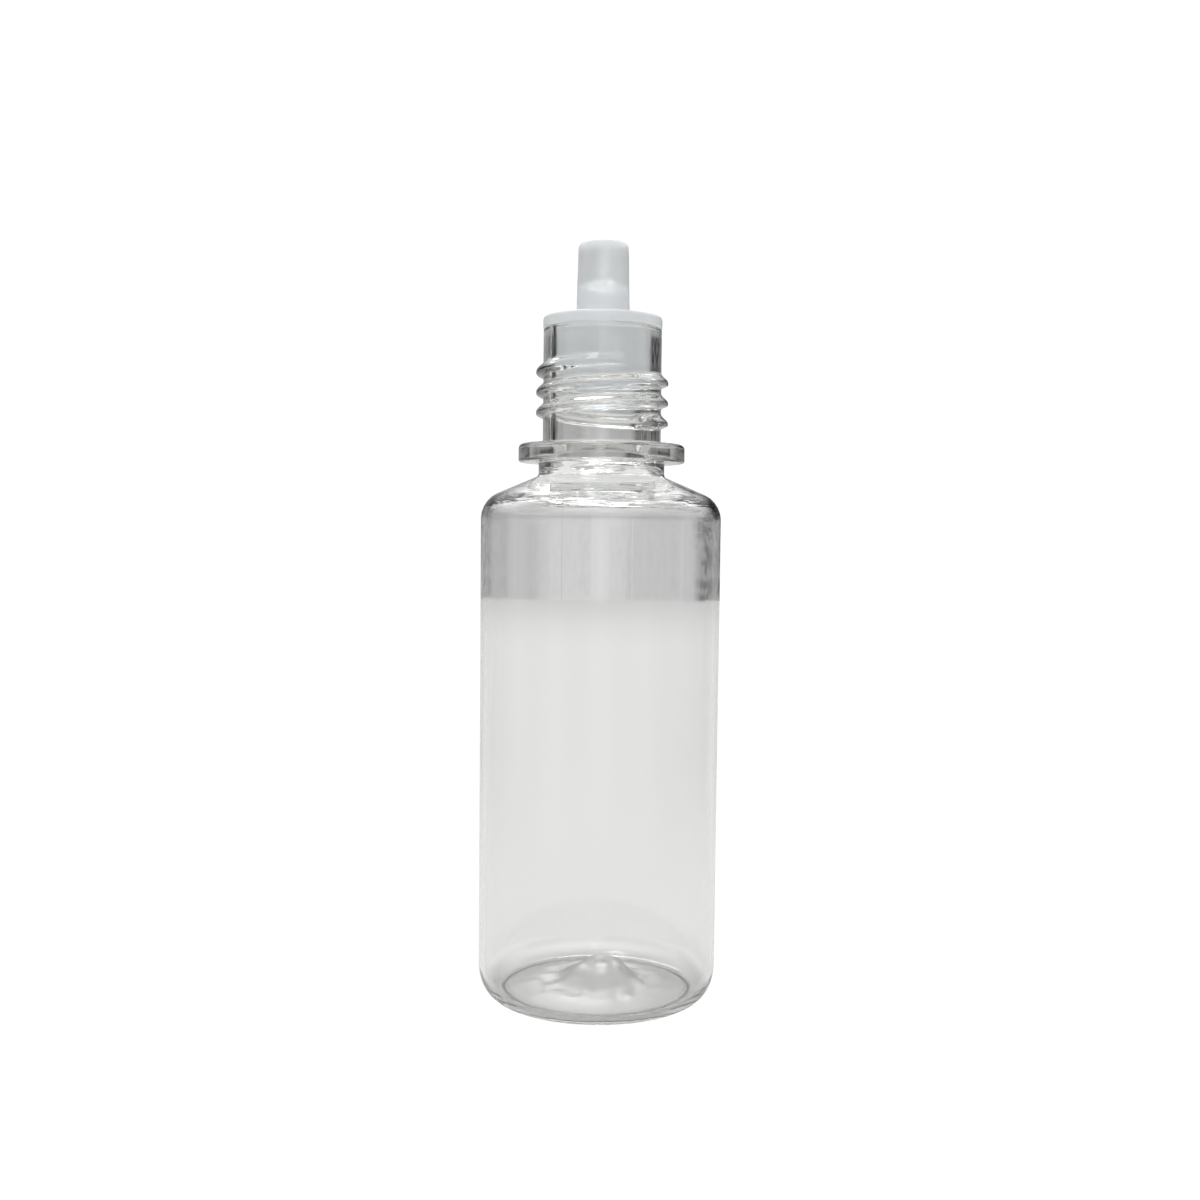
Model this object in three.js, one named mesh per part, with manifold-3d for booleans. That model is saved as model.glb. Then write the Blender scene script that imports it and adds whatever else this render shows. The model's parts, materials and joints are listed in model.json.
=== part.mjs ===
// A 30 ml squeeze dropper bottle in two mouldings: a clear blow-moulded bottle with a
// threaded neck and a neck ring, and a translucent dropper insert pressed into its mouth.
// Millimetres, +Z up. The origin is the centre of the face that the bottle stands on.
import * as THREE from "three";
import { mergeVertices } from "three/addons/utils/BufferGeometryUtils.js";
import Module from "manifold-3d";

const wasm = await Module();
wasm.setup();

// Driving dimensions of the bottle's body.
const BODY_RADIUS = 13.75;
const BODY_WALL = 0.6;
const FOOT_RADIUS = 13.65;
const HEEL_RISE = 3.7;
const STAND_OUTER = 11.1;
const STAND_INNER = 10.3;
const SHOULDER_RADIUS = 3;
const SHOULDER_ARC_Z = 55.1;
const SHOULDER_SLOPE = THREE.MathUtils.degToRad(23.3);
const SHOULDER_WALL = 0.8;
const SHOULDER_ROOT = 0.8;

// The base is pushed up inside the standing ring, and a dome in its middle holds the gate mark.
const BASE_WALL = 0.8;
const PANEL_RISE = 0.8;
const PANEL_EDGE = 3;
const DOME_RADIUS = 5;
const DOME_SHOULDER = 0.55;
const DOME_TOP = 3;
const DOME_INSIDE_RADIUS = 6;
const DOME_INSIDE_TOP = 4.4;
const GATE_RADIUS = 0.9;
const GATE_DROP = 0.7;

// The neck finish: a cylinder that carries the thread, over a ring that the cap's band meets.
const NECK_TOP = 76.6;
const NECK_RADIUS = 6.75;
const NECK_FOOT_RADIUS = 7.2;
const NECK_FOOT_Z = 60.85;
const BORE_RADIUS = 5.6;
const BORE_FOOT = 61.7;
const BORE_FLARE = 0.6;
const LIP_CHAMFER = 0.25;
const RING_RADIUS = 9.5;
const RING_BOTTOM = 61.45;
const RING_TOP = 63.5;
const RING_EDGE = 0.4;
const RING_CHAMFER = 0.2;

// The cap thread: right-hand, one start, with a longer flank above its crest than below it.
const THREAD_PITCH = 2.3;
const THREAD_TURNS = 3;
const THREAD_HEIGHT = 0.8;
const THREAD_CREST = 0.3;
const THREAD_FLANK_BELOW = 0.65;
const THREAD_FLANK_ABOVE = 1.25;
const THREAD_START_Z = 65.48;
const THREAD_START_ANGLE = THREE.MathUtils.degToRad(-61);
const THREAD_RUN_OUT = 0.045;
const THREAD_ROOT_DEPTH = 0.3;

// Driving dimensions of the dropper insert.
const FIT_GAP = 0.05;
const SKIRT_BOTTOM = 70.6;
const SKIRT_WALL = 0.75;
const SKIRT_RADIUS = BORE_RADIUS - FIT_GAP - 0.1;
const SKIRT_LEAD = 0.8;
const SKIRT_LEAD_DEPTH = 0.3;
const BEAD_HEIGHTS = [71.9, 73.9];
const BEAD_HALF = 0.45;
const COLLAR_RADIUS = 6.8;
const COLLAR_BOTTOM = NECK_TOP + FIT_GAP;
const COLLAR_TOP = COLLAR_BOTTOM + 1.35;
const COLLAR_EDGE = 0.45;
const COLLAR_CHAMFER = 0.15;
const TIP_TOP = 86.5;
const TIP_ROOT_RADIUS = 3.05;
const TIP_END_RADIUS = 2.85;
const TIP_ROUND = 0.8;
const TIP_FILLET = 0.3;

// The liquid's passage: a well over the skirt's mouth, a tapered cavity and a small orifice.
const WELL_TOP = COLLAR_BOTTOM - 0.15;
const WELL_CHAMFER = 0.4;
const CAVITY_ROOT_RADIUS = 2.15;
const CAVITY_END_RADIUS = 1.95;
const CAVITY_END = 81.4;
const CAVITY_CONE = 0.6;
const ORIFICE_RADIUS = 0.4;
const MOUTH_RADIUS = 0.95;
const MOUTH_DEPTH = 0.6;

// Facets round the axis. Both pieces share them, so their clearance is even all round.
const FACETS = 48;
const ARC_STEPS = 3;

const clearPlastic = new THREE.MeshStandardMaterial({
  color: 0xdfe3e3,
  roughness: 0.08,
  metalness: 0,
  transparent: true,
  opacity: 0.35,
});
const milkyPlastic = new THREE.MeshStandardMaterial({
  color: 0xd6dadc,
  roughness: 0.42,
  metalness: 0,
});

// The outline of a turned shape, drawn as radius and height, spun round the Z axis.
function turned(outline) {
  const lathe = new THREE.LatheGeometry(outline.getPoints(ARC_STEPS), FACETS);
  return lathe.rotateX(Math.PI / 2);
}

function solidOf(geometry) {
  const shell = geometry.clone();
  shell.deleteAttribute("normal");
  shell.deleteAttribute("uv");
  const merged = mergeVertices(shell, 1e-4);
  return new wasm.Manifold(
    new wasm.Mesh({
      numProp: 3,
      vertProperties: merged.attributes.position.array,
      triVerts: new Uint32Array(merged.index.array),
    }),
  );
}

function geometryOf(solid) {
  const mesh = solid.getMesh();
  const geometry = new THREE.BufferGeometry();
  geometry.setAttribute("position", new THREE.BufferAttribute(mesh.vertProperties, 3));
  geometry.setIndex(new THREE.BufferAttribute(mesh.triVerts, 1));
  geometry.computeVertexNormals();
  return geometry;
}

// Where a shoulder line at this slope touches an arc round (x, y), and its height at radius r.
function shoulderEnd(x, y, radius) {
  const turn = Math.PI / 2 - SHOULDER_SLOPE;
  return new THREE.Vector2(x + radius * Math.cos(turn), y + radius * Math.sin(turn));
}
function heightOnShoulder(end, r) {
  return end.y + (end.x - r) * Math.tan(SHOULDER_SLOPE);
}

// The underside: a gate mark on a dome, a shallow panel, the standing ring and the heel.
function drawUnderside(outline) {
  const gateFace = DOME_TOP - GATE_DROP;
  outline.moveTo(0, gateFace);
  outline.lineTo(GATE_RADIUS, gateFace);
  outline.lineTo(GATE_RADIUS, DOME_TOP);
  outline.bezierCurveTo(
    DOME_RADIUS * DOME_SHOULDER, DOME_TOP,
    DOME_RADIUS * DOME_SHOULDER, PANEL_RISE,
    DOME_RADIUS, PANEL_RISE,
  );
  outline.quadraticCurveTo(STAND_INNER - PANEL_EDGE, PANEL_RISE, STAND_INNER, 0);
  outline.lineTo(STAND_OUTER, 0);
  outline.absellipse(
    STAND_OUTER, HEEL_RISE, FOOT_RADIUS - STAND_OUTER, HEEL_RISE, -Math.PI / 2, 0, false, 0,
  );
}

// The outside, from the heel up the wall and over the shoulder to the neck's foot.
function drawShoulder(outline) {
  const arcX = BODY_RADIUS - SHOULDER_RADIUS;
  const end = shoulderEnd(arcX, SHOULDER_ARC_Z, SHOULDER_RADIUS);
  const rootRadius = NECK_FOOT_RADIUS + SHOULDER_ROOT;
  outline.lineTo(BODY_RADIUS, SHOULDER_ARC_Z);
  outline.absarc(
    arcX, SHOULDER_ARC_Z, SHOULDER_RADIUS, 0, Math.PI / 2 - SHOULDER_SLOPE, false,
  );
  outline.lineTo(rootRadius, heightOnShoulder(end, rootRadius));
  outline.quadraticCurveTo(
    NECK_FOOT_RADIUS, heightOnShoulder(end, NECK_FOOT_RADIUS), NECK_FOOT_RADIUS, NECK_FOOT_Z,
  );
}

// The neck ring, the plain neck above it and the lip that the insert's collar sits on.
function drawNeck(outline) {
  outline.lineTo(NECK_FOOT_RADIUS, RING_BOTTOM);
  outline.lineTo(RING_RADIUS - RING_CHAMFER, RING_BOTTOM);
  outline.lineTo(RING_RADIUS, RING_BOTTOM + RING_CHAMFER);
  outline.lineTo(RING_RADIUS, RING_TOP - RING_EDGE);
  outline.quadraticCurveTo(RING_RADIUS, RING_TOP, RING_RADIUS - RING_EDGE, RING_TOP);
  outline.lineTo(NECK_RADIUS, RING_TOP);
  outline.lineTo(NECK_RADIUS, NECK_TOP - LIP_CHAMFER);
  outline.lineTo(NECK_RADIUS - LIP_CHAMFER, NECK_TOP);
  outline.lineTo(BORE_RADIUS + LIP_CHAMFER, NECK_TOP);
  outline.lineTo(BORE_RADIUS, NECK_TOP - LIP_CHAMFER);
}

// The inside: bore, underside of the shoulder, wall, heel and the raised middle of the base.
function drawInside(outline) {
  const innerRadius = BODY_RADIUS - BODY_WALL;
  const heelRadius = FOOT_RADIUS - BODY_WALL;
  const panelTop = PANEL_RISE + BASE_WALL;
  const arcRadius = SHOULDER_RADIUS - SHOULDER_WALL;
  const arcX = innerRadius - arcRadius;
  const end = shoulderEnd(arcX, SHOULDER_ARC_Z, arcRadius);
  const flareRadius = BORE_RADIUS + BORE_FLARE;
  const rootRadius = NECK_FOOT_RADIUS + SHOULDER_ROOT;
  outline.lineTo(BORE_RADIUS, BORE_FOOT);
  outline.bezierCurveTo(
    BORE_RADIUS, heightOnShoulder(end, BORE_RADIUS),
    flareRadius, heightOnShoulder(end, flareRadius),
    rootRadius, heightOnShoulder(end, rootRadius),
  );
  outline.lineTo(end.x, end.y);
  outline.absarc(arcX, SHOULDER_ARC_Z, arcRadius, Math.PI / 2 - SHOULDER_SLOPE, 0, true);
  outline.lineTo(heelRadius, HEEL_RISE);
  outline.absellipse(
    STAND_OUTER, HEEL_RISE, heelRadius - STAND_OUTER, HEEL_RISE - BASE_WALL,
    0, -Math.PI / 2, true, 0,
  );
  outline.lineTo(STAND_INNER, BASE_WALL);
  outline.quadraticCurveTo(STAND_INNER - PANEL_EDGE, panelTop, DOME_INSIDE_RADIUS, panelTop);
  outline.bezierCurveTo(
    DOME_INSIDE_RADIUS * DOME_SHOULDER, panelTop,
    DOME_INSIDE_RADIUS * DOME_SHOULDER, DOME_INSIDE_TOP,
    0, DOME_INSIDE_TOP,
  );
}

// A helix whose two ends sink into the neck, with its frames held radial and upright.
class ThreadPath extends THREE.Curve {
  angleAt(t) {
    return THREAD_START_ANGLE + t * THREAD_TURNS * 2 * Math.PI;
  }
  getPoint(t) {
    const nearEnd = Math.min(t, 1 - t) / THREAD_RUN_OUT;
    const sink = THREAD_HEIGHT * (1 - THREE.MathUtils.smoothstep(nearEnd, 0, 1));
    const angle = this.angleAt(t);
    const radius = NECK_RADIUS - sink;
    return new THREE.Vector3(
      radius * Math.cos(angle),
      radius * Math.sin(angle),
      THREAD_START_Z + t * THREAD_TURNS * THREAD_PITCH,
    );
  }
  computeFrenetFrames(steps) {
    const tangents = [];
    const normals = [];
    const binormals = [];
    for (let i = 0; i <= steps; i++) {
      const angle = this.angleAt(i / steps);
      tangents.push(new THREE.Vector3(-Math.sin(angle), Math.cos(angle), 0));
      normals.push(new THREE.Vector3(Math.cos(angle), Math.sin(angle), 0));
      binormals.push(new THREE.Vector3(0, 0, -1));
    }
    return { tangents, normals, binormals };
  }
}

// The thread's section: X points out of the neck, Y points down, and the crest is at Y = 0.
function threadSection() {
  const section = new THREE.Shape();
  section.moveTo(-THREAD_ROOT_DEPTH, -THREAD_FLANK_ABOVE);
  section.lineTo(THREAD_HEIGHT - THREAD_CREST / 2, -THREAD_CREST);
  section.lineTo(THREAD_HEIGHT, 0);
  section.lineTo(THREAD_HEIGHT - THREAD_CREST / 2, THREAD_CREST);
  section.lineTo(-THREAD_ROOT_DEPTH, THREAD_FLANK_BELOW);
  section.closePath();
  return section;
}

// The swept thread, less what would reach through the neck's wall at its sunken ends.
function threadSolid() {
  const swept = new THREE.ExtrudeGeometry(threadSection(), {
    extrudePath: new ThreadPath(),
    steps: FACETS * THREAD_TURNS,
    curveSegments: 2,
    bevelEnabled: false,
  });
  const coreRadius = NECK_RADIUS - THREAD_ROOT_DEPTH;
  const core = new THREE.CylinderGeometry(coreRadius, coreRadius, NECK_TOP, FACETS)
    .rotateX(Math.PI / 2)
    .translate(0, 0, NECK_TOP / 2);
  return solidOf(swept).subtract(solidOf(core));
}

function bottle() {
  const outline = new THREE.Path();
  drawUnderside(outline);
  drawShoulder(outline);
  drawNeck(outline);
  drawInside(outline);
  const solid = solidOf(turned(outline)).add(threadSolid());
  const mesh = new THREE.Mesh(geometryOf(solid), clearPlastic);
  mesh.name = "bottle";
  return mesh;
}

// The outside of the plug: a lead-in, a skirt with two sealing beads, and the collar.
function drawPlug(outline) {
  const bead = BORE_RADIUS - FIT_GAP;
  outline.moveTo(SKIRT_RADIUS - SKIRT_WALL, SKIRT_BOTTOM);
  outline.lineTo(SKIRT_RADIUS - SKIRT_LEAD_DEPTH, SKIRT_BOTTOM);
  outline.lineTo(SKIRT_RADIUS, SKIRT_BOTTOM + SKIRT_LEAD);
  for (const height of BEAD_HEIGHTS) {
    outline.lineTo(SKIRT_RADIUS, height - BEAD_HALF);
    outline.quadraticCurveTo(2 * bead - SKIRT_RADIUS, height, SKIRT_RADIUS, height + BEAD_HALF);
  }
  outline.lineTo(SKIRT_RADIUS, COLLAR_BOTTOM);
  outline.lineTo(COLLAR_RADIUS - COLLAR_CHAMFER, COLLAR_BOTTOM);
  outline.lineTo(COLLAR_RADIUS, COLLAR_BOTTOM + COLLAR_CHAMFER);
  outline.lineTo(COLLAR_RADIUS, COLLAR_TOP - COLLAR_EDGE);
  outline.quadraticCurveTo(COLLAR_RADIUS, COLLAR_TOP, COLLAR_RADIUS - COLLAR_EDGE, COLLAR_TOP);
}

// The tip: a slightly tapered spout with a rounded end and a dished mouth.
function drawTip(outline) {
  outline.lineTo(TIP_ROOT_RADIUS + TIP_FILLET, COLLAR_TOP);
  outline.quadraticCurveTo(TIP_ROOT_RADIUS, COLLAR_TOP, TIP_ROOT_RADIUS, COLLAR_TOP + TIP_FILLET);
  outline.lineTo(TIP_END_RADIUS, TIP_TOP - TIP_ROUND);
  outline.absarc(
    TIP_END_RADIUS - TIP_ROUND, TIP_TOP - TIP_ROUND, TIP_ROUND, 0, Math.PI / 2, false,
  );
  outline.lineTo(MOUTH_RADIUS, TIP_TOP);
  outline.lineTo(ORIFICE_RADIUS, TIP_TOP - MOUTH_DEPTH);
}

// The liquid's way through: the orifice, the wide cavity under it and the open skirt.
function drawPassage(outline) {
  const skirtInner = SKIRT_RADIUS - SKIRT_WALL;
  outline.lineTo(ORIFICE_RADIUS, CAVITY_END + CAVITY_CONE);
  outline.lineTo(CAVITY_END_RADIUS, CAVITY_END);
  outline.lineTo(CAVITY_ROOT_RADIUS, WELL_TOP + WELL_CHAMFER);
  outline.lineTo(CAVITY_ROOT_RADIUS + WELL_CHAMFER, WELL_TOP);
  outline.lineTo(skirtInner - WELL_CHAMFER, WELL_TOP);
  outline.lineTo(skirtInner, WELL_TOP - WELL_CHAMFER);
  outline.lineTo(skirtInner, SKIRT_BOTTOM);
}

function dropperInsert() {
  const outline = new THREE.Path();
  drawPlug(outline);
  drawTip(outline);
  drawPassage(outline);
  const mesh = new THREE.Mesh(turned(outline), milkyPlastic);
  mesh.name = "dropper_insert";
  return mesh;
}

const dropperBottle = new THREE.Group();
dropperBottle.add(bottle(), dropperInsert());

export default dropperBottle;
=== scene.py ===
import json
import math

import bmesh
import bpy
from mathutils import Matrix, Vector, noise


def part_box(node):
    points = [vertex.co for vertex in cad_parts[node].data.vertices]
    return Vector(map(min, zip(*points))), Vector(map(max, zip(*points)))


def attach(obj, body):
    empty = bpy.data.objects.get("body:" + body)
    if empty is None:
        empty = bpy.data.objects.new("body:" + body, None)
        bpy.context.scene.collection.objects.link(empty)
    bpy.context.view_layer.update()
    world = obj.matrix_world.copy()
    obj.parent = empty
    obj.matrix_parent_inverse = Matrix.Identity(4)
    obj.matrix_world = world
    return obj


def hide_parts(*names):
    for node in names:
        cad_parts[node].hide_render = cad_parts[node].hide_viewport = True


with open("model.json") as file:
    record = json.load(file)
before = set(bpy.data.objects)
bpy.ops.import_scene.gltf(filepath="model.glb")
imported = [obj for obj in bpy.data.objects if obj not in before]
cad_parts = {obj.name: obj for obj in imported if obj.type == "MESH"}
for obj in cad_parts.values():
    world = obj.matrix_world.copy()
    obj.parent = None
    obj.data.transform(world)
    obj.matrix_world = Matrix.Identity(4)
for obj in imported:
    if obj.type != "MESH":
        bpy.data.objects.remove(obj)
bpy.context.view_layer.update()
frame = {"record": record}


# The viewpoint: a short telephoto held at half the bottle's height, tipped a little down and
# a touch off level, close enough that the base is seen from above and the collar from below.

CAMERA_DISTANCE = 0.1634
CAMERA_HEIGHT = 0.0532
CAMERA_TIP = math.radians(2.62)
CAMERA_ROLL = math.radians(0.6)
CAMERA_LENS = 42.6

camera = bpy.data.objects.new("viewpoint", bpy.data.cameras.new("viewpoint"))
camera.data.sensor_width = 36
camera.data.lens = CAMERA_LENS
camera.data.clip_start = 0.005
camera.matrix_world = (
    Matrix.Translation((0, -CAMERA_DISTANCE, CAMERA_HEIGHT))
    @ Matrix.Rotation(math.pi / 2 - CAMERA_TIP, 4, "X")
    @ Matrix.Rotation(CAMERA_ROLL, 4, "Z")
)
bpy.context.scene.collection.objects.link(camera)
bpy.context.scene.camera = camera


# The bottle: one stretch-blown PET moulding, clear and glossy. The threaded neck and its ring
# keep the thick wall they were injected with, and the body under them is blown out thin.

MM = 0.001
body_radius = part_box("bottle")[1].x / MM
neck_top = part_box("bottle")[1].z / MM

BODY_WALL = 0.6
BASE_WALL = 0.85
FOOT_RADIUS = 13.65
HEEL_RISE = 3.7
STAND_OUTER = 11.1
STAND_INNER = 10.3
PANEL_RADIUS = 7
PANEL_RISE = 0.8
DOME_TOP = 3
DOME_RADIUS = 5
DOME_INSIDE_TOP = 4.4
DOME_INSIDE_RADIUS = 6
DOME_LEAN = 0.7
BASE_WAVE = 0.26
BASE_WAVE_LENGTH = 1.9
GATE_RADIUS = 0.9
GATE_DROP = 0.7
SHOULDER_Z = 57.05
SHOULDER_SLOPE = math.tan(math.radians(23.3))
SHOULDER_ROUND = 1.95
SHOULDER_WALL = 0.75
NECK_FOOT_RADIUS = 7.2
RING_RADIUS = 9.5
RING_BOTTOM = 61.45
RING_TOP = 63.5
NECK_RADIUS = 6.75
BORE_RADIUS = 5.6

TURN_STEPS = 256
HEEL_STEPS = 10
DOME_STEPS = 12


def shoulder_height(radius):
    return SHOULDER_Z + (body_radius - radius) * SHOULDER_SLOPE


def turn_outline(corners, longest):
    """A closed shell turned from (radius, height, rounding) corners, all in millimetres."""
    shell = bmesh.new()
    joints = [shell.verts.new((radius, 0, height)) for radius, height, _ in corners]
    for start, end in zip(joints, joints[1:]):
        shell.edges.new((start, end))
    if corners[0][0] > 0:
        shell.edges.new((joints[-1], joints[0]))
    for joint, (_, _, rounding) in zip(joints, corners):
        if rounding:
            bmesh.ops.bevel(
                shell, geom=[joint], offset=rounding, offset_type="OFFSET",
                affect="VERTICES", segments=5, profile=0.5, material=-1,
            )
    for edge in list(shell.edges):
        cuts = int(edge.calc_length() / longest)
        if cuts:
            bmesh.ops.subdivide_edges(shell, edges=[edge], cuts=cuts)
    bmesh.ops.spin(
        shell, geom=list(shell.verts) + list(shell.edges), cent=(0, 0, 0), axis=(0, 0, 1),
        dvec=(0, 0, 0), angle=2 * math.pi, steps=TURN_STEPS, use_merge=True,
    )
    bmesh.ops.remove_doubles(shell, verts=shell.verts, dist=0.001)
    bmesh.ops.recalc_face_normals(shell, faces=shell.faces)
    return shell


def finish_piece(shell, name):
    """Scales a shell from millimetres and makes it a smooth object of that name."""
    bmesh.ops.scale(shell, vec=(MM, MM, MM), verts=shell.verts)
    mesh = bpy.data.meshes.new(name)
    shell.to_mesh(mesh)
    shell.free()
    mesh.shade_smooth()
    piece = bpy.data.objects.new(name, mesh)
    bpy.context.scene.collection.objects.link(piece)
    return piece


def heel_arc(radius, foot):
    """The quarter ellipse from the base's height at the standing ring out to the wall."""
    quarter = [step * math.pi / 2 / HEEL_STEPS for step in range(HEEL_STEPS + 1)]
    return [
        (
            STAND_OUTER + (radius - STAND_OUTER) * math.sin(turn),
            HEEL_RISE - (HEEL_RISE - foot) * math.cos(turn),
            0,
        )
        for turn in quarter
    ]


def dome_arc(start, end, top, foot):
    """The bell that a dome's side follows from one radius out to another."""
    parts = [step / DOME_STEPS for step in range(DOME_STEPS + 1)]
    return [
        (
            start + (end - start) * part,
            foot + (top - foot) * (0.5 + 0.5 * math.cos(math.pi * part)),
            0,
        )
        for part in parts
    ]


inner_radius = body_radius - BODY_WALL
panel_top = PANEL_RISE + BASE_WALL
bottle_outside = [
    (0, DOME_TOP - GATE_DROP, 0),
    (GATE_RADIUS, DOME_TOP - GATE_DROP, 0.15),
    *dome_arc(GATE_RADIUS + 0.2, DOME_RADIUS, DOME_TOP, PANEL_RISE),
    (PANEL_RADIUS, PANEL_RISE, 0.7),
    (STAND_INNER, 0, 0.4),
    *heel_arc(FOOT_RADIUS, 0),
    (body_radius, SHOULDER_Z, SHOULDER_ROUND),
    (NECK_FOOT_RADIUS, shoulder_height(NECK_FOOT_RADIUS), 0.3),
    (NECK_FOOT_RADIUS, RING_BOTTOM, 0.2),
    (RING_RADIUS, RING_BOTTOM, 0.25),
    (RING_RADIUS, RING_TOP, 0.5),
    (NECK_RADIUS, RING_TOP, 0.25),
    (NECK_RADIUS, neck_top, 0.2),
]
bottle_inside = [
    (BORE_RADIUS, neck_top, 0.3),
    (BORE_RADIUS, 61.9, 0.6),
    (6.35, 60.3, 0.7),
    (NECK_FOOT_RADIUS + 0.8, shoulder_height(NECK_FOOT_RADIUS + 0.8) - 0.85, 0.8),
    (inner_radius, SHOULDER_Z - SHOULDER_WALL, SHOULDER_ROUND - BODY_WALL),
    *reversed(heel_arc(FOOT_RADIUS - BODY_WALL, BASE_WALL)),
    (STAND_INNER, BASE_WALL, 0.1),
    (PANEL_RADIUS, panel_top, 0.7),
    *reversed(dome_arc(0, DOME_INSIDE_RADIUS, DOME_INSIDE_TOP, panel_top)),
]
bottle_shell = turn_outline(bottle_outside + bottle_inside, longest=1.4)

# The stiff plastic round the gate doesn't blow evenly: its dome leans and is wavy inside.

bottle_shell.normal_update()
for vert in bottle_shell.verts:
    radius = math.hypot(vert.co.x, vert.co.y)
    if radius < STAND_INNER and vert.co.z < DOME_INSIDE_TOP + BASE_WALL:
        freedom = 1 - (radius / STAND_INNER) ** 4
        if vert.normal.z > 0:
            vert.co.z += BASE_WAVE * freedom * noise.noise(vert.co / BASE_WAVE_LENGTH)
        vert.co.x += DOME_LEAN * freedom * vert.co.z / DOME_INSIDE_TOP

# The thread stands on the neck's fine rows as a one-start right-hand ridge with rounded flanks
# that runs out into the neck at both ends.

THREAD_PITCH = 2.3
THREAD_TURNS = 3
THREAD_HEIGHT = 0.8
THREAD_CREST = 0.12
THREAD_START_Z = 65.48
THREAD_START_ANGLE = math.radians(-61)
THREAD_RUN_OUT = math.radians(36)
FLANK_ABOVE = 1.25
FLANK_BELOW = 0.6
NECK_ROWS = 120
SEAM_ANGLE = math.radians(35.4)
SEAM_WIDTH = 0.9
SEAM_HEIGHT = 0.16


def thread_height(angle, height):
    """How far the thread stands out of the neck at an angle round the axis and a height."""
    first = (angle - THREAD_START_ANGLE) % (2 * math.pi)
    tallest = 0
    for turn in range(THREAD_TURNS):
        travel = first + turn * 2 * math.pi
        above = height - THREAD_START_Z - travel / (2 * math.pi) * THREAD_PITCH
        flank = FLANK_ABOVE if above > 0 else FLANK_BELOW
        if abs(above) > flank:
            continue
        beyond = max(abs(above) - THREAD_CREST, 0) / (flank - THREAD_CREST)
        ridge = 0.5 + 0.5 * math.cos(math.pi * beyond)
        near_end = min(travel, THREAD_TURNS * 2 * math.pi - travel) / THREAD_RUN_OUT
        rise = min(near_end, 1)
        tallest = max(tallest, ridge * rise * rise * (3 - 2 * rise))
    return THREAD_HEIGHT * tallest


def seam_height(angle):
    """How far the mould's two parting strips stand out of the neck at an angle."""
    away = abs(math.sin(angle - SEAM_ANGLE)) * NECK_RADIUS / (SEAM_WIDTH / 2)
    return SEAM_HEIGHT * (1 - away**4) if away < 1 else 0


def on_neck(vert):
    """Whether a vertex is on the outside of the neck between its ring and its lip."""
    radius = math.hypot(vert.co.x, vert.co.y)
    return abs(radius - NECK_RADIUS) < 0.01 and RING_TOP < vert.co.z < neck_top


neck_edges = [
    edge for edge in bottle_shell.edges
    if all(on_neck(vert) for vert in edge.verts)
    and abs(edge.verts[0].co.z - edge.verts[1].co.z) > 0.5
]
neck_spans = len(neck_edges) // TURN_STEPS
bmesh.ops.subdivide_edges(
    bottle_shell, edges=neck_edges, cuts=NECK_ROWS // neck_spans, use_grid_fill=True,
)
for vert in bottle_shell.verts:
    if on_neck(vert):
        angle = math.atan2(vert.co.y, vert.co.x)
        stand = max(thread_height(angle, vert.co.z), seam_height(angle))
        vert.co.xy *= 1 + stand / NECK_RADIUS

bottle = finish_piece(bottle_shell, "clear_bottle")


class Wire:
    """A node's output, so that shader maths reads as an expression."""

    def __init__(self, graph, socket):
        self.graph = graph
        self.socket = socket

    def maths(self, operation, *values):
        inputs = dict(enumerate(values))
        return self.graph.add("Math", {"operation": operation}, inputs)

    def __add__(self, other):
        return self.maths("ADD", self, other)

    def __sub__(self, other):
        return self.maths("SUBTRACT", self, other)

    def __rsub__(self, other):
        return self.maths("SUBTRACT", other, self)

    def __mul__(self, other):
        return self.maths("MULTIPLY", self, other)

    def __truediv__(self, other):
        return self.maths("DIVIDE", self, other)

    def __abs__(self):
        return self.maths("ABSOLUTE", self)

    __radd__ = __add__
    __rmul__ = __mul__

    def other(self, output):
        """The same node's other output of that name."""
        return Wire(self.graph, self.socket.node.outputs[output])

    def between(self, low, high):
        """0 at low, 1 at high and a smooth step from one to the other."""
        inputs = {"Value": self, "From Min": low, "From Max": high}
        return self.graph.add("MapRange", {"interpolation_type": "SMOOTHSTEP"}, inputs)


class Graph:
    """A node tree that is written by adding nodes with their settings and inputs."""

    def __init__(self, tree):
        self.tree = tree
        tree.nodes.clear()

    def add(self, kind, settings=None, inputs=None, output=0):
        node = self.tree.nodes.new("ShaderNode" + kind)
        for name, value in (settings or {}).items():
            setattr(node, name, value)
        for name, value in (inputs or {}).items():
            if isinstance(value, Wire):
                self.tree.links.new(value.socket, node.inputs[name])
            else:
                node.inputs[name].default_value = value
        if node.outputs:
            return Wire(self, node.outputs[output])


def new_material(name):
    material = bpy.data.materials.new(name)
    material.use_nodes = True
    return material, Graph(material.node_tree)


# The drawn wall is slightly streaky, the shoulder is crinkled in rings, the body has the mould's
# parting line on two sides, and the base is hazier than the rest.

STREAK_DEPTH = 0.02
CRINKLE_DEPTH = 0.05
PARTING_DEPTH = 0.003
PARTING_ANGLE = math.radians(72.4)
PARTING_NORMAL = (-math.sin(PARTING_ANGLE), math.cos(PARTING_ANGLE), 0)
CLEAR_ROUGHNESS = 0.02
BASE_HAZE = 0.36

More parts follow.
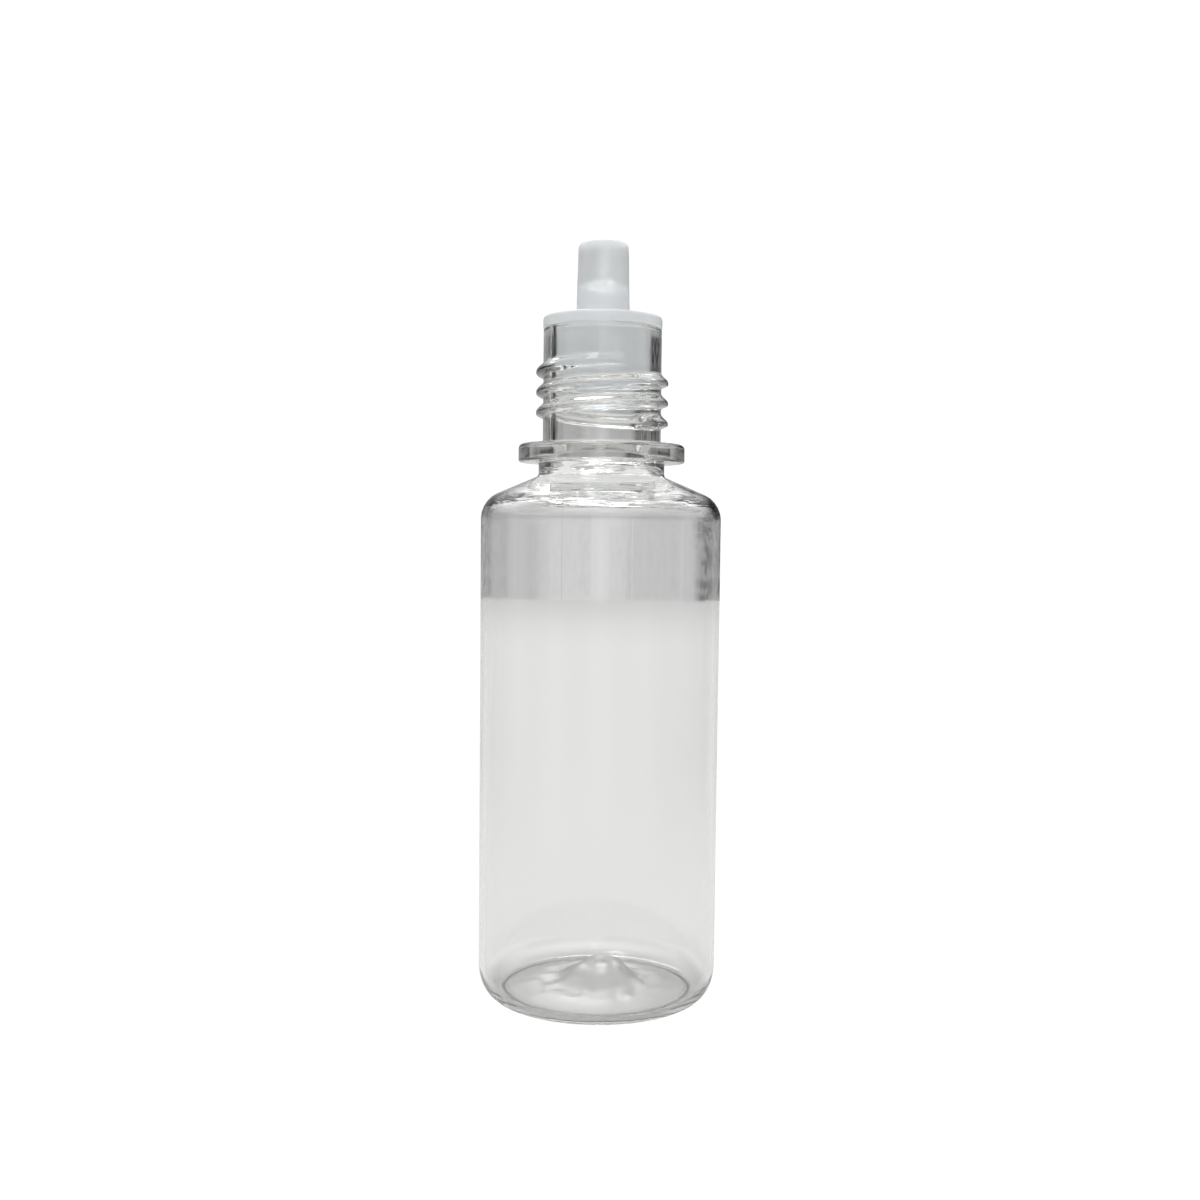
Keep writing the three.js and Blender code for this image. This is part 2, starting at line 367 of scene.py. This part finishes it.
glossy_pet, pet = new_material("glossy_pet")
place = pet.add("TexCoord", output="Object")
across = pet.add("SeparateXYZ", inputs={"Vector": place})
height = across.other("Z")
from_axis = pet.add(
    "VectorMath", {"operation": "MULTIPLY"}, {0: place, 1: (1, 1, 0)},
)
radius = pet.add("VectorMath", {"operation": "LENGTH"}, {0: from_axis}, output="Value")
rings = pet.add("Mapping", inputs={"Vector": place, "Scale": (160, 160, 2000)})
crinkle = pet.add("TexNoise", inputs={"Vector": rings, "Scale": 1, "Distortion": 0.6})
on_shoulder = height.between(0.0555, 0.0565) * (1 - height.between(0.0605, 0.0612))
upright = pet.add("Mapping", inputs={"Vector": place, "Scale": (260, 260, 30)})
streaks = pet.add("TexNoise", inputs={"Vector": upright, "Scale": 1, "Detail": 2})
from_parting = pet.add(
    "VectorMath", {"operation": "DOT_PRODUCT"}, {0: place, 1: PARTING_NORMAL}, output="Value",
)
parting = 1 - abs(from_parting).between(0.00003, 0.00012)
parting = parting * (1 - height.between(0.06, 0.061))
relief = streaks * STREAK_DEPTH + crinkle * on_shoulder * CRINKLE_DEPTH + parting * PARTING_DEPTH
waves = pet.add("Bump", inputs={"Strength": 1, "Distance": 0.001, "Height": relief})
in_base = (1 - height.between(0.0044, 0.005)) * (1 - radius.between(0.0102, 0.0106))
pet_shader = pet.add(
    "BsdfPrincipled",
    inputs={
        "Base Color": (0.99, 0.99, 0.99, 1),
        "Roughness": CLEAR_ROUGHNESS + BASE_HAZE * in_base,
        "IOR": 1.57,
        "Transmission Weight": 1,
        "Normal": waves,
    },
)
depth = pet.add("VolumeAbsorption", inputs={"Color": (0.52, 0.54, 0.51, 1), "Density": 95})
pet.add("OutputMaterial", inputs={"Surface": pet_shader, "Volume": depth})
bottle.data.materials.append(glossy_pet)
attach(bottle, "bottle")
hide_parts("bottle")


# The dropper insert: one LDPE moulding, milky and satin, pressed into the bottle's mouth. Its
# collar sits on the lip, its skirt lines the bore, and liquid leaves by the tip's small orifice.

tip_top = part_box("dropper_insert")[1].z / MM
skirt_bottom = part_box("dropper_insert")[0].z / MM
collar_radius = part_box("dropper_insert")[1].x / MM
collar_top = next(m["pos_m"][2] for m in frame["record"]["mounts"] if m["name"] == "cap_seat") / MM

SKIRT_RADIUS = 5.45
SKIRT_WALL = 0.75
COLLAR_BOTTOM = 76.65
TIP_ROOT_RADIUS = 3.05
TIP_END_RADIUS = 2.85
WELL_TOP = 76.5
CAVITY_END = 81.4
CAVITY_END_RADIUS = 1.95
CAVITY_ROOT_RADIUS = 2.15
ORIFICE_RADIUS = 0.4

skirt_inner = SKIRT_RADIUS - SKIRT_WALL
insert_corners = [
    (skirt_inner, skirt_bottom, 0.2),
    (SKIRT_RADIUS - 0.3, skirt_bottom, 0.15),
    (SKIRT_RADIUS, skirt_bottom + 0.8, 0.3),
    (SKIRT_RADIUS, COLLAR_BOTTOM, 0.05),
    (collar_radius, COLLAR_BOTTOM, 0.12),
    (collar_radius, collar_top, 0.45),
    (TIP_ROOT_RADIUS, collar_top, 0.25),
    (TIP_END_RADIUS, tip_top, 0.8),
    (0.95, tip_top, 0.15),
    (ORIFICE_RADIUS, tip_top - 0.6, 0.15),
    (ORIFICE_RADIUS, CAVITY_END + 0.6, 0.1),
    (CAVITY_END_RADIUS, CAVITY_END, 0.3),
    (CAVITY_ROOT_RADIUS, WELL_TOP, 0.4),
    (skirt_inner, WELL_TOP, 0.4),
]
insert = finish_piece(turn_outline(insert_corners, longest=1), "milky_insert")

milky_ldpe, ldpe = new_material("milky_ldpe")
place = ldpe.add("TexCoord", output="Object")
grain = ldpe.add("TexNoise", inputs={"Vector": place, "Scale": 900, "Detail": 3})
satin = ldpe.add("Bump", inputs={"Strength": 0.15, "Distance": 0.00005, "Height": grain})
ldpe_shader = ldpe.add(
    "BsdfPrincipled",
    inputs={
        "Base Color": (0.94, 0.955, 0.965, 1),
        "Roughness": 0.3,
        "IOR": 1.51,
        "Transmission Weight": 0.55,
        "Normal": satin,
    },
)
ldpe.add("OutputMaterial", inputs={"Surface": ldpe_shader})
insert.data.materials.append(milky_ldpe)
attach(insert, "dropper_insert")
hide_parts("dropper_insert")


# The table: a round white board, whose far edge lies a metre away all round. Its light is half
# matt and half a painted glow, with a painted shadow under the bottle and painted shade towards
# its far edge and between the main directions.

FLOOR_RADIUS = 1.0
FLOOR_GLOW = 0.63
PAPER_WHITE = 1.05

board = bmesh.new()
bmesh.ops.create_circle(board, cap_ends=True, segments=128, radius=FLOOR_RADIUS)
floor_mesh = bpy.data.meshes.new("table_top")
board.to_mesh(floor_mesh)
board.free()
floor = bpy.data.objects.new("table_top", floor_mesh)
bpy.context.scene.collection.objects.link(floor)
white_board, white = new_material("white_board")
place = white.add("TexCoord", output="Object")
across = white.add("SeparateXYZ", inputs={"Vector": place})
along = across.other("Y")
azimuth = across.maths("ARCTAN2", across, along) * (180 / math.pi)
distance = white.add("VectorMath", {"operation": "LENGTH"}, {0: place}, output="Value")
# Painted shade: the glow is up to a third darker between the main directions, from 2 cm out from
# the bottle.
between = azimuth.maths("PINGPONG", azimuth + 2, 22.5).between(2, 18)
shade = 1 - 0.3 * between * distance.between(0.02, 0.2)
# Painted shadow: the glow drops to a fifth under the bottle and comes back just past its foot.
shade = shade * (0.2 + 0.8 * distance.between(0.012, 0.018))
# Painted shade: the glow fades to half towards the board's far edge.
shade = shade * (1 - 0.5 * distance.between(0.45, 1.0))
matt = white.add("BsdfDiffuse", inputs={"Color": (0.78, 0.78, 0.77, 1)})
# The glow is painted light: the board shines by itself, with the painted shadow and shade above in
# it.
glow = white.add("Emission", inputs={"Color": (1, 1, 0.99, 1), "Strength": FLOOR_GLOW * shade})
lit = white.add("MixShader", inputs={0: 0.5, 1: matt, 2: glow})
seen = white.add("LightPath", output="Is Camera Ray")
paper = white.add("Emission", inputs={"Strength": PAPER_WHITE})
mixed = white.add("MixShader", inputs={0: seen, 1: lit, 2: paper})
white.add("OutputMaterial", inputs={"Surface": mixed})
floor.data.materials.append(white_board)


# The studio: a grey wall all round, which darkens to both sides of each main direction so that it
# draws the clear walls' edges, under a bright ceiling with a lamp behind and a soft box overhead.

WALL_TONE = 0.71
CEILING_TONE = 1.05
LAMP_STRENGTH = 9
SOFT_BOX_STRENGTH = 6

studio = bpy.data.worlds.new("studio")
studio.use_nodes = True
bpy.context.scene.world = studio
room = Graph(studio.node_tree)
direction = room.add("TexCoord", output="Generated")
across = room.add("SeparateXYZ", inputs={"Vector": direction})
along = across.other("Y")
upward = across.other("Z")
azimuth = across.maths("ARCTAN2", across, along) * (180 / math.pi)
elevation = upward.maths("ARCSINE", upward) * (180 / math.pi)
quarter = azimuth.maths("WRAP", azimuth, 54, -36)
spot = room.add("CombineXYZ", inputs={"X": quarter / 5, "Y": elevation / 0.6})
clutter = room.add("TexNoise", {"noise_dimensions": "2D"}, {"Vector": spot, "Scale": 1})
clutter = clutter.between(0.45, 0.52)
above = elevation.between(1.5, 5)
edge_light = 1 - 0.4 * quarter.between(16, 24) * (1 - above)
right_dark = quarter.between(6.5, 10.5) * (0.5 + 0.35 * clutter + 0.13 * above) * edge_light
left_dark = (quarter * -1).between(12, 18) * (0.1 + 0.35 * clutter)
wall = WALL_TONE - 0.1 * quarter.between(1, 1.8) - 0.15 * (quarter * -1).between(2.5, 5)
wall = wall * (1 - right_dark) * (1 - left_dark) * (1 - 0.2 * above)
low = 1 - elevation.between(16, 28)
light = wall * low + CEILING_TONE * (1 - low)
front = (along * -1).between(0.1, 0.8)
high_behind = upward.between(0.45, 0.6) * along.between(0.2, 0.5)
lamp_across = 1 - abs(azimuth + 4).between(8, 9)
lamp_up = 1 - abs(elevation - 40).between(6, 7)
box_across = 1 - abs(across + 0.2).between(0.1, 0.13)
box_along = 1 - abs(along + 0.1).between(0.12, 0.15)
soft_box = box_across * box_along * upward.between(0.5, 0.6)
light = light * (1 + 0.3 * front + 0.7 * high_behind)
lamp = LAMP_STRENGTH * lamp_across * lamp_up
lit = light + lamp + SOFT_BOX_STRENGTH * soft_box
seen = room.add("LightPath", output="Is Camera Ray")
shown = lit * (1 - seen) + PAPER_WHITE * seen
backdrop = room.add("Background", inputs={"Color": (1, 1, 1, 1), "Strength": shown})
room.add("OutputWorld", inputs={"Surface": backdrop})

bpy.context.scene.view_settings.view_transform = "Standard"

# Light crosses many walls of clear plastic, and is turned back inside the thick ones.

light_paths = bpy.context.scene.cycles
light_paths.max_bounces = 32
light_paths.diffuse_bounces = 12
light_paths.glossy_bounces = 16
light_paths.transmission_bounces = 32
light_paths.blur_glossy = 0
